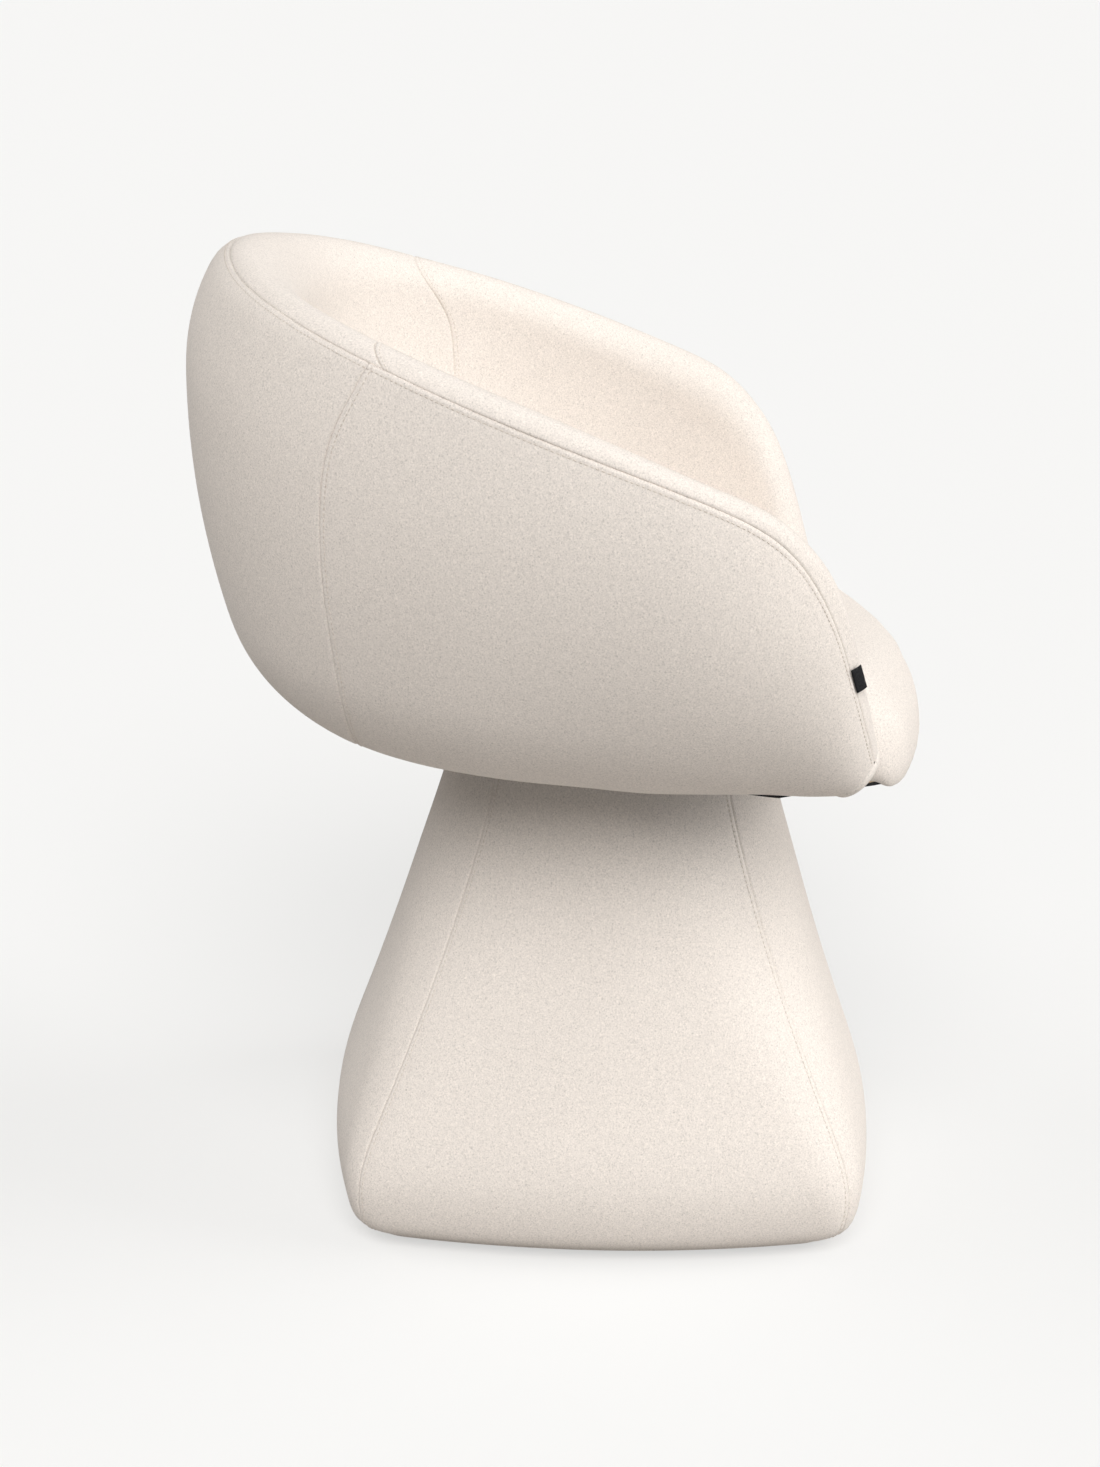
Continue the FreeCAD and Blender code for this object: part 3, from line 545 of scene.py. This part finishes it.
def blended(nodes, links, kind, first, second, share):
    node = nodes.new("ShaderNodeMix")
    node.data_type = "RGBA"
    node.blend_type = kind
    node.inputs["Factor"].default_value = share
    links.new(first, node.inputs["A"])
    links.new(second, node.inputs["B"])
    return node.outputs["Result"]


def bump(nodes, links, shader, heights):
    """Chain of bumps: (height socket, distance in metres, strength)."""
    last = None
    for height, distance, strength in heights:
        node = nodes.new("ShaderNodeBump")
        node.inputs["Distance"].default_value = distance
        node.inputs["Strength"].default_value = strength
        links.new(height, node.inputs["Height"])
        if last is not None:
            links.new(last, node.inputs["Normal"])
        last = node.outputs["Normal"]
    links.new(last, shader.inputs["Normal"])


def grey(value):
    return (value, value, value)


# the felt's fibres, from dark to light: place in the noise, share of the tint
FELT_FIBRES = [(0.30, 0.70), (0.43, 0.92), (0.55, 1.0), (0.70, 1.14)]
GLOSS_WEAR = 0.08


def felt_material(name, tint):
    """Milled wool cloth: fine light and dark fibres in a warm pale ground."""
    material, nodes, links, shader, place = principled(name, 0.92)
    fibre = noise(nodes, links, place, 800, detail=3.0, rough=0.65, distortion=0.6)
    grain = ramp(nodes, links, fibre.outputs["Fac"], [
        (at, tuple(min(1, t * tone) for t in tint)) for at, tone in FELT_FIBRES])
    flock = noise(nodes, links, place, 260, detail=3.0, rough=0.6, distortion=0.3)
    mottle = ramp(nodes, links, flock.outputs["Fac"], [(0.3, grey(0.945)), (0.7, grey(1.0))])
    cloud = noise(nodes, links, place, 9)
    shade = ramp(nodes, links, cloud.outputs["Fac"], [(0.3, grey(0.98)), (0.7, grey(1.0))])
    colour = blended(nodes, links, "MULTIPLY", grain.outputs["Color"], mottle.outputs["Color"], 1.0)
    colour = blended(nodes, links, "MULTIPLY", colour, shade.outputs["Color"], 1.0)
    links.new(colour, shader.inputs["Base Color"])
    shader.inputs["Specular IOR Level"].default_value = 0.15
    shader.inputs["Sheen Weight"].default_value = 0.18
    shader.inputs["Sheen Roughness"].default_value = 0.45
    shader.inputs["Sheen Tint"].default_value = (1.0, 0.97, 0.93, 1)
    fuzz = noise(nodes, links, place, 1500, rough=0.6)
    bump(nodes, links, shader, [
        (flock.outputs["Fac"], 0.35 * MM, 0.5), (fibre.outputs["Fac"], 0.25 * MM, 0.55),
        (fuzz.outputs["Fac"], 0.08 * MM, 0.5)])
    return material


def cloth_material(name, colour, lighter):
    """Plain woven strip or lining."""
    material, nodes, links, shader, place = principled(name, 0.85)
    weave = noise(nodes, links, place, 900, rough=0.7)
    tone = ramp(nodes, links, weave.outputs["Fac"], [(0.35, colour), (0.7, lighter)])
    links.new(tone.outputs["Color"], shader.inputs["Base Color"])
    shader.inputs["Specular IOR Level"].default_value = 0.2
    bump(nodes, links, shader, [(weave.outputs["Fac"], 0.2 * MM, 0.6)])
    return material


def hard_material(name, colour, lighter, roughness, metal=0.0, scale=260, depth=0.03 * MM):
    """Hard or open-celled stuff: specks of two tones, with a little wear in the gloss."""
    material, nodes, links, shader, place = principled(name, roughness)
    speck = noise(nodes, links, place, scale, detail=3.0, rough=0.6)
    tone = ramp(nodes, links, speck.outputs["Fac"], [(0.35, colour), (0.7, lighter)])
    links.new(tone.outputs["Color"], shader.inputs["Base Color"])
    shader.inputs["Metallic"].default_value = metal
    worn = ramp(nodes, links, speck.outputs["Fac"], [
        (0.3, grey(max(0, roughness - GLOSS_WEAR))), (0.7, grey(min(1, roughness + GLOSS_WEAR)))])
    links.new(worn.outputs["Color"], shader.inputs["Roughness"])
    bump(nodes, links, shader, [(speck.outputs["Fac"], depth, 0.5)])
    return material


FELT = felt_material("felt", (0.825, 0.757, 0.694))
THREAD = cloth_material("thread", (0.60, 0.53, 0.46), (0.74, 0.67, 0.60))
LINING = cloth_material("lining", (0.010, 0.010, 0.011), (0.03, 0.03, 0.03))
STRIP = cloth_material("strip", (0.006, 0.006, 0.007), (0.022, 0.022, 0.024))
BLACK_METAL = hard_material("black_metal", grey(0.008), grey(0.02), 0.5)
NYLON = hard_material("nylon", grey(0.006), grey(0.016), 0.42)
STEEL = hard_material("steel", (0.50, 0.50, 0.51), (0.62, 0.62, 0.62), 0.33, metal=1.0)
PLYWOOD = hard_material("plywood", (0.52, 0.38, 0.22), (0.66, 0.51, 0.33), 0.6, scale=60)
MOULDING = hard_material("moulding", grey(0.03), grey(0.05), 0.5)
FOAM = hard_material("foam", (0.72, 0.69, 0.58), (0.82, 0.79, 0.69), 0.9, scale=700, depth=0.3 * MM)


def finish(piece, material, body, slot, *nodes):
    """Gives a piece its material and body, and hides the solids that it stands for. The slot is not
    used.
    """
    piece.data.materials.clear()
    piece.data.materials.append(material)
    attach(piece, body)
    if nodes:
        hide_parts(*nodes)


# Tub panels

def wall_shares(outside):
    """Places up one side of the wall, close together near its foot and near the rim seam."""
    stretch = split(*OUTLINES[MID - SPACING_STATION])[0 if outside else 1]
    return graded(cumulative(stretch)[-1])


def add_panel(name, node, at, low, high, edges, seed, centre, extra=()):
    """Makes one panel of the wall between two sets of places, one place in each per column."""
    middle = len(high) // 2
    span = at(np.linspace(low[middle], high[middle], 80)[:, None].repeat(len(high), axis=1))
    rows = graded(cumulative(span[:, middle])[-1])
    grid = at(low + rows[:, None] * (high - low))
    normal = outward(grid, normals_of(grid), centre)
    sewn = sew(grid, normal, edges, seed)
    sheets = [tuck_in(sewn, normal, edges)] + [sheet for sheet, _ in extra]
    flips = [faces_in(sewn, normal)] + [turned for _, turned in extra]
    piece = joined(name, sheets, flips)
    finish(piece, FELT, "seat", "felt", node)
    return sewn, normal


def build_tub():
    """Six panels of cloth; gives the threads along the rim and those along the other seams."""
    rim_runs, seam_runs = [], []
    for outside, line, prefix, side_kind, seed in (
            (True, OUTER_SEAM, "outer", "_side_", 10), (False, INNER_SEAM, "inner", "_arm_", 40)):
        shares = wall_shares(outside)
        at, knots = wall_spline(outside, shares)
        places = {side: seam_places(at, knots, len(shares), side, line) for side in (1, -1)}
        rim = "last_column" if outside else "first_column"
        # the padding lies inside the outer cloth and outside the inner cloth
        away = 0 if outside else FAR_AWAY
        grid, normal = add_panel(
            prefix + "_back_cloth", prefix + "_back", at, places[-1], places[1],
            {"first_row": False, "last_row": False, rim: outside}, seed, TUB_HEART + (0, away, 0))
        if outside:
            rim_runs.append(stitches(grid, normal, rim))
        for side in (1, -1):
            end = np.full(len(shares), knots[-1] if side > 0 else knots[0])
            node = prefix + side_kind + SIDE_NAMES[side]
            grid, normal = add_panel(
                node + "_cloth", node, at, places[side], end, {"first_row": True, rim: outside},
                seed + 3 * side, TUB_HEART + (side * away, 0, 0), () if outside else (arm_end(side),))
            seam_runs.append(stitches(grid, normal, "first_row"))
            if outside:
                rim_runs.append(stitches(grid, normal, rim))
    return rim_runs, seam_runs


def arm_end(side):
    """Rounded end of an arm, from the outline of the last section inwards."""
    points, _ = OUTLINES[-1 if side > 0 else 0]
    before, _ = OUTLINES[-2 if side > 0 else 1]
    edge = resample(points, np.linspace(0, 1, 70))
    foot = np.linspace(edge[-1], edge[0], 16)[1:-1]
    loop = np.concatenate([edge, foot, edge[:1]])
    forward = np.cross(edge[20] - edge[0], edge[50] - edge[0])
    forward /= np.linalg.norm(forward)
    forward *= np.sign(np.dot(forward, points.mean(axis=0) - before.mean(axis=0)))
    middle = loop[:-1].mean(axis=0)
    reach = np.linalg.norm(loop - middle, axis=1)[:, None]
    rings = []
    for a in np.linspace(0, math.pi / 2, 12):
        inset = ARM_END_TURN * (1 - math.cos(a))
        ahead = forward * ARM_END_DEPTH * math.sin(a)
        rings.append(middle + (loop - middle) * (1 - inset / reach) + ahead)
    last = rings[-1] - middle - forward * ARM_END_DEPTH
    for share in (0.75, 0.5, 0.25, 0.02):
        dome = ARM_END_DEPTH * (1 + ARM_END_DOME * (1 - share))
        rings.append(middle + forward * dome + last * share)
    grid = np.stack(rings)
    way = np.cross(grid[9, 21] - grid[9, 20], grid[10, 20] - grid[9, 20])
    return grid, np.dot(way, forward) < 0


# Base panels

def base_quarter(half, corner, shares):
    """Plan of one side of a level, from corner to corner, on the +X side."""
    turn = math.radians(BASE_TURN_DEG)
    grow = 1 + math.tan(turn / 2)
    small = half * (1 - corner * grow) / (1 - grow / math.sqrt(2))
    middle = corner * half - small / math.sqrt(2)
    large = (middle + small * math.sin(turn)) / math.sin(turn)
    side = arc((half - large, 0), large, -turn, turn, 60)
    upper = arc((middle, middle), small, turn, math.pi / 4, 30)
    lower = upper[::-1] * (1, -1)
    return resample(np.concatenate([lower, side[1:], upper[1:]]), shares)


def base_level_rows(shares):
    """Points of every level, from the top down."""
    above = BASE_TOP - BASE_WIDEST_AT
    levels = [(BASE_WIDEST_AT + h * above, w * BASE_WIDEST, c) for h, w, c in BASE_ABOVE]
    levels += [(h * BASE_WIDEST_AT, w * BASE_WIDEST, c) for h, w, c in BASE_BELOW]
    rows = []
    for height, half, corner in levels:
        plan = base_quarter(half, corner, shares)
        rows.append(np.concatenate([plan, np.full((len(plan), 1), height)], axis=1))
    return np.stack(rows)


def base_sheet(rows_count=86, fine_count=400):
    """One side of the base on the +X side, with its normals."""
    rows = base_level_rows(graded(BASE_SIDE_LENGTH))
    middle = rows.shape[1] // 2
    gaps = np.sqrt(np.linalg.norm(np.diff(rows[:, middle], axis=0), axis=1))
    knots = np.concatenate([[0], np.cumsum(gaps)])
    at = spline(knots, rows)
    trial = np.linspace(0, knots[-1], fine_count)
    length = cumulative(at(trial)[:, middle])
    sheet = at(np.interp(np.linspace(0, 1, rows_count) * length[-1], length, trial))
    return sheet, outward(sheet, normals_of(sheet), BASE_HEART)


def quarter_spin(turns):
    """Matrix that rows of points are multiplied by to turn about the axis by quarter turns."""
    angle = turns * math.pi / 2
    c, s = math.cos(angle), math.sin(angle)
    return np.array([[c, s, 0], [-s, c, 0], [0, 0, 1]])


def hem(sewn, way):
    """Rows that turn the foot of a panel in under the base."""
    level = way[-1] * (1, 1, 0)
    level /= np.linalg.norm(level, axis=1, keepdims=True)
    down = np.array([0, 0, -1.0])
    turned = [sewn[-1] - level * (HEM_RADIUS * (1 - math.cos(a))) + down * (HEM_RADIUS * math.sin(a))
              for a in np.linspace(HEM_FROM, HEM_TO, 5)]
    return np.stack(turned + [turned[-1] - level * HEM_RETURN])


def build_base():
    """Four alike panels, each turned in under the base and sewn to the next."""
    sheet, normal = base_sheet()
    runs = []
    for turns, name in enumerate(("left", "back", "right", "front")):
        spin = quarter_spin(turns)
        grid, way = sheet @ spin, normal @ spin
        topstitched = turns % 2 == 0
        edges = {"first_column": topstitched, "last_column": topstitched}
        sewn = sew(grid, way, edges, 80 + turns)
        turned = hem(sewn, way)
        whole = np.concatenate([sewn, turned])
        way_whole = np.concatenate([way, np.repeat(way[-1:], len(turned), axis=0)])
        piece = joined("base_cloth_" + name, [tuck_in(whole, way_whole, edges)], [faces_in(sewn, way)])
        # one of the panels also stands for the padding under all four
        covered = ("base_foam",) if name == "left" else ()
        finish(piece, FELT, "base", "felt", "base_cover_" + name, *covered)
        if topstitched:
            runs += [stitches(sewn, way, edge) for edge in edges]
    thread_object("base_topstitch", runs, "base")


def build_base_top():
    """Ring of cloth turned in over the top of the base."""
    quarter_ring = base_level_rows(np.linspace(0, 1, 24))[0][:-1]
    ring = np.concatenate([quarter_ring @ quarter_spin(turns) for turns in range(4)])
    ring = np.concatenate([ring, ring[:1]])
    sheets = [ring * (share, share, 1) + (0, 0, lift * MM) for share, lift in BASE_CAP]
    sheets.append(sheets[-1] - (0, 0, BASE_CAP_RETURN))
    cap = joined("base_top_cloth", [np.stack(sheets)], [False])
    finish(cap, FELT, "base", "felt", "base_top_cover")


# Cushion

def vertex_rows(mesh, attribute="co"):
    """Places or normals of a mesh's points, one per row."""
    return np.array([getattr(vertex, attribute) for vertex in mesh.vertices])


def filled_copy(name, nodes):
    """One object from copies of solids that lie against each other."""
    points, faces, start = [], [], 0
    for node in nodes:
        mesh = frame["nodes"][node].data
        points.append(vertex_rows(mesh))
        faces += [tuple(start + i for i in face.vertices) for face in mesh.polygons]
        start += len(mesh.vertices)
    return mesh_object(name, np.concatenate(points) - AXIS * (1, 1, 0), faces)


def baked_mesh(piece):
    """The mesh that a piece's modifiers leave; they are taken off it."""
    depsgraph = bpy.context.evaluated_depsgraph_get()
    mesh = bpy.data.meshes.new_from_object(piece.evaluated_get(depsgraph))
    piece.modifiers.clear()
    return mesh


def add_smoothing(piece, iterations):
    smooth = piece.modifiers.new("smooth", "SMOOTH")
    smooth.factor = 0.5
    smooth.iterations = iterations


def filled_places(piece):
    """Where the points of a cover lie when its filling presses from inside."""
    cloth = piece.modifiers.new("cloth", "CLOTH")
    cloth.settings.use_pressure = True
    cloth.settings.uniform_pressure_force = CUSHION_PRESSURE
    cloth.settings.effector_weights.gravity = 0
    cloth.settings.quality = 5
    scene = bpy.context.scene
    for step in range(1, CUSHION_FRAMES + 1):
        scene.frame_set(step)
    places = vertex_rows(baked_mesh(piece))
    scene.frame_set(1)
    return places


def inside_foot(points):
    """Draws whatever lies low and outside the wall's foot in to the middle of that foot."""
    foot = np.array([(outline[0] + outline[-1]) / 2 for outline, _ in OUTLINES])[:, :2] - CUSHION_CENTRE
    foot_angle = np.arctan2(foot[:, 0], foot[:, 1])
    order = np.argsort(foot_angle)
    centre = CUSHION_CENTRE + AXIS[:2]
    plan = points[:, :2] - centre
    reach = np.linalg.norm(plan, axis=1)
    limit = np.interp(np.arctan2(plan[:, 0], plan[:, 1]), foot_angle[order],
                      np.linalg.norm(foot, axis=1)[order], left=1.0, right=1.0)
    low = points[:, 2] < TUB_FLOOR + CUSHION_LOW
    share = np.where(low & (reach > limit), limit / reach, 1.0)
    drawn = points.copy()
    drawn[:, :2] = centre + plan * share[:, None]
    return drawn


def nose_lip(points):
    """Lets the cover hang a little lower in front, over the edge of the deck."""
    ahead = np.clip((LIP_AT - points[:, 1] + AXIS[1]) / LIP_RUN, 0, 1)
    low = np.clip((TUB_FLOOR + CUSHION_LOW - points[:, 2]) / CUSHION_LOW, 0, 1)
    hung = points.copy()
    hung[:, 2] -= LIP_DROP * ahead * low
    hung[:, 2] = np.maximum(hung[:, 2], TUB_FLOOR + CUSHION_LIFT - LIP_LOWEST * ahead)
    return hung


def build_cushion():
    """One cover round the cushion's solids, smoothed, swollen outwards and let down at the nose."""
    cushion = filled_copy("seat_cushion", CUSHION_SOLIDS)
    bpy.context.view_layer.objects.active = cushion
    remesh = cushion.modifiers.new("remesh", "REMESH")
    remesh.mode = "VOXEL"
    remesh.voxel_size = CUSHION_VOXEL
    add_smoothing(cushion, CUSHION_SMOOTHING)
    bpy.context.view_layer.update()
    cushion.data = baked_mesh(cushion)
    start, outwards = vertex_rows(cushion.data), vertex_rows(cushion.data, "normal")
    moved = filled_places(cushion)
    step = outwards * np.maximum(((moved - start) * outwards).sum(axis=1, keepdims=True), 0)
    forward_room = np.interp(start[:, 1] - AXIS[1], *FORWARD_ROOM)
    upward_room = np.interp(start[:, 2], *UPWARD_ROOM)
    room = np.maximum(forward_room, upward_room)[:, None] * CUSHION_SWELLING
    step *= np.minimum(1, room / np.maximum(np.linalg.norm(step, axis=1, keepdims=True), 1e-9))
    for vertex, place in zip(cushion.data.vertices, nose_lip(inside_foot(start + step))):
        vertex.co = place
    cushion.data.shade_smooth()
    add_smoothing(cushion, CUSHION_SOFTENING)
    finer = cushion.modifiers.new("finer", "SUBSURF")
    finer.levels = finer.render_levels = 1
    finish(cushion, FELT, "seat", "felt", "seat_foam", "seat_cover")


# Tab sewn into the rim seam

def build_tab():
    """Plain folded strip that stands out of the rim seam near the front of the right arm."""
    station = int(TAB_PLACE)
    seams = []
    for points, seam in (OUTLINES[MID - station], OUTLINES[MID - station - 1]):
        outer, inner = split(points, seam)
        across = [resample(part, [share])[0] for part, share in zip((outer, inner), TAB_ACROSS)]
        seams.append((outer[-1], *across))
    share = TAB_PLACE - station
    at_seam, outside, inside = [a + (b - a) * share for a, b in zip(*seams)]
    run = seams[1][0] - seams[0][0]
    run /= np.linalg.norm(run)
    over = inside - outside
    over -= run * over.dot(run)
    over /= np.linalg.norm(over)
    normal = np.cross(run, over)
    normal *= np.sign(normal.dot(at_seam * (1, 1, 0)))
    out, along, thick = TAB_SIZE

    def layer(lift):
        """One face of the strip, from the seam out, bowed and thinner at its fold."""
        return np.array([[
            at_seam + over * (s * out - TAB_SUNK) + run * (t * along + s * TAB_SLANT)
            + normal * (TAB_CLEAR + (TAB_BOW * math.sin(s * math.pi * 0.6) + lift * (1 - 0.2 * s)))
            for t in np.linspace(-0.5, 0.5, 9)] for s in np.linspace(0, 1, 7)])

    lower, upper = layer(0.0), layer(thick)[::-1]
    tab = joined("side_tab_strip", [np.concatenate([lower, upper, lower[:1]])], [True])
    bm = bmesh.new()
    bm.from_mesh(tab.data)
    bmesh.ops.remove_doubles(bm, verts=bm.verts, dist=1e-6)
    bmesh.ops.holes_fill(bm, edges=bm.edges)
    bmesh.ops.recalc_face_normals(bm, faces=bm.faces)
    bm.to_mesh(tab.data)
    bm.free()
    finish(tab, STRIP, "seat", "tab", "side_tab")


# Pieces that keep their solid shape
CARRIED = {
    "floor_glides": NYLON, "base_plate": BLACK_METAL, "plate_screws": STEEL,
    "rib_fore_aft": PLYWOOD, "rib_cross": PLYWOOD, "base_top_board": PLYWOOD, "seat_deck": PLYWOOD,
    "base_casing": MOULDING, "tub_shell": MOULDING, "back_foam": FOAM,
    "arm_foam_left": FOAM, "arm_foam_right": FOAM,
    "swivel_lower_plate": STEEL, "swivel_upper_plate": STEEL, "swivel_pivot": STEEL,
    "swivel_balls": STEEL, "lower_screws": STEEL, "upper_screws": STEEL, "underside_cover": LINING,
}


def dress_carried():
    for node, material in CARRIED.items():
        solid = frame["nodes"][node]
        solid.data.materials.clear()
        solid.data.materials.append(material)


# Floor, light and camera

def build_floor():
    """Pale floor with a glow of its own, which only the camera sees."""
    corners = [(x * FLOOR_HALF, y * FLOOR_HALF, 0) for x, y in ((-1, -1), (1, -1), (1, 1), (-1, 1))]
    mesh = bpy.data.meshes.new("studio_floor")
    mesh.from_pydata(corners, [], [(0, 1, 2, 3)])
    floor = bpy.data.objects.new("studio_floor", mesh)
    bpy.context.scene.collection.objects.link(floor)
    material = bpy.data.materials.new("studio_floor")
    material.use_nodes = True
    nodes, links = material.node_tree.nodes, material.node_tree.links
    shader = nodes["Principled BSDF"]
    path = nodes.new("ShaderNodeLightPath")
    tone = nodes.new("ShaderNodeMix")
    tone.data_type = "RGBA"
    tone.inputs["A"].default_value = FLOOR_LIT
    tone.inputs["B"].default_value = FLOOR_SEEN
    links.new(path.outputs["Is Camera Ray"], tone.inputs["Factor"])
    links.new(tone.outputs["Result"], shader.inputs["Base Color"])
    glow = nodes.new("ShaderNodeMath")
    glow.operation = "MULTIPLY"
    glow.inputs[1].default_value = FLOOR_GLOW
    links.new(path.outputs["Is Camera Ray"], glow.inputs[0])
    links.new(glow.outputs["Value"], shader.inputs["Emission Strength"])
    shader.inputs["Emission Color"].default_value = FLOOR_GLOW_COLOUR
    shader.inputs["Roughness"].default_value = 1.0
    shader.inputs["Specular IOR Level"].default_value = 0.0
    mesh.materials.append(material)


def sun(name, source, strength):
    """Distant lamp that shines from a direction towards the origin."""
    light = bpy.data.lights.new(name, "SUN")
    light.energy = strength
    light.angle = math.radians(SUN_SPREAD_DEG)
    lamp = bpy.data.objects.new(name, light)
    lamp.rotation_euler = Vector(source).to_track_quat("Z", "Y").to_euler()
    bpy.context.scene.collection.objects.link(lamp)


def build_light():
    world = bpy.data.worlds.new("studio")
    world.use_nodes = True
    background = world.node_tree.nodes["Background"]
    background.inputs["Color"].default_value = WORLD_COLOUR
    background.inputs["Strength"].default_value = WORLD_STRENGTH
    bpy.context.scene.world = world
    for name, source, strength in SUNS:
        sun(name, source, strength)


def build_camera():
    data = bpy.data.cameras.new("camera")
    data.lens = CAMERA_LENS
    data.sensor_width = CAMERA_SENSOR
    data.sensor_fit = "AUTO"
    data.clip_end = CAMERA_REACH
    camera = bpy.data.objects.new("camera", data)
    down, roll = math.radians(CAMERA_DOWN_DEG), math.radians(CAMERA_ROLL_DEG)
    forward = Vector((math.cos(down), 0, -math.sin(down)))
    right = Vector((0, -1, 0))
    up = right.cross(forward)
    x_axis = right * math.cos(roll) + up * math.sin(roll)
    y_axis = up * math.cos(roll) - right * math.sin(roll)
    turn = Matrix((x_axis, y_axis, -forward)).transposed().to_4x4()
    camera.matrix_world = Matrix.Translation(Vector(CAMERA_AT) + Vector(AXIS * (1, 1, 0))) @ turn
    bpy.context.scene.collection.objects.link(camera)
    bpy.context.scene.camera = camera


rim_runs, seam_runs = build_tub()
build_base()
build_base_top()
thread_object("rim_topstitch", rim_runs, "seat")
thread_object("panel_topstitch", seam_runs, "seat")
build_cushion()
build_tab()
dress_carried()
build_floor()
build_light()
build_camera()
bpy.context.scene.view_settings.view_transform = "Standard"
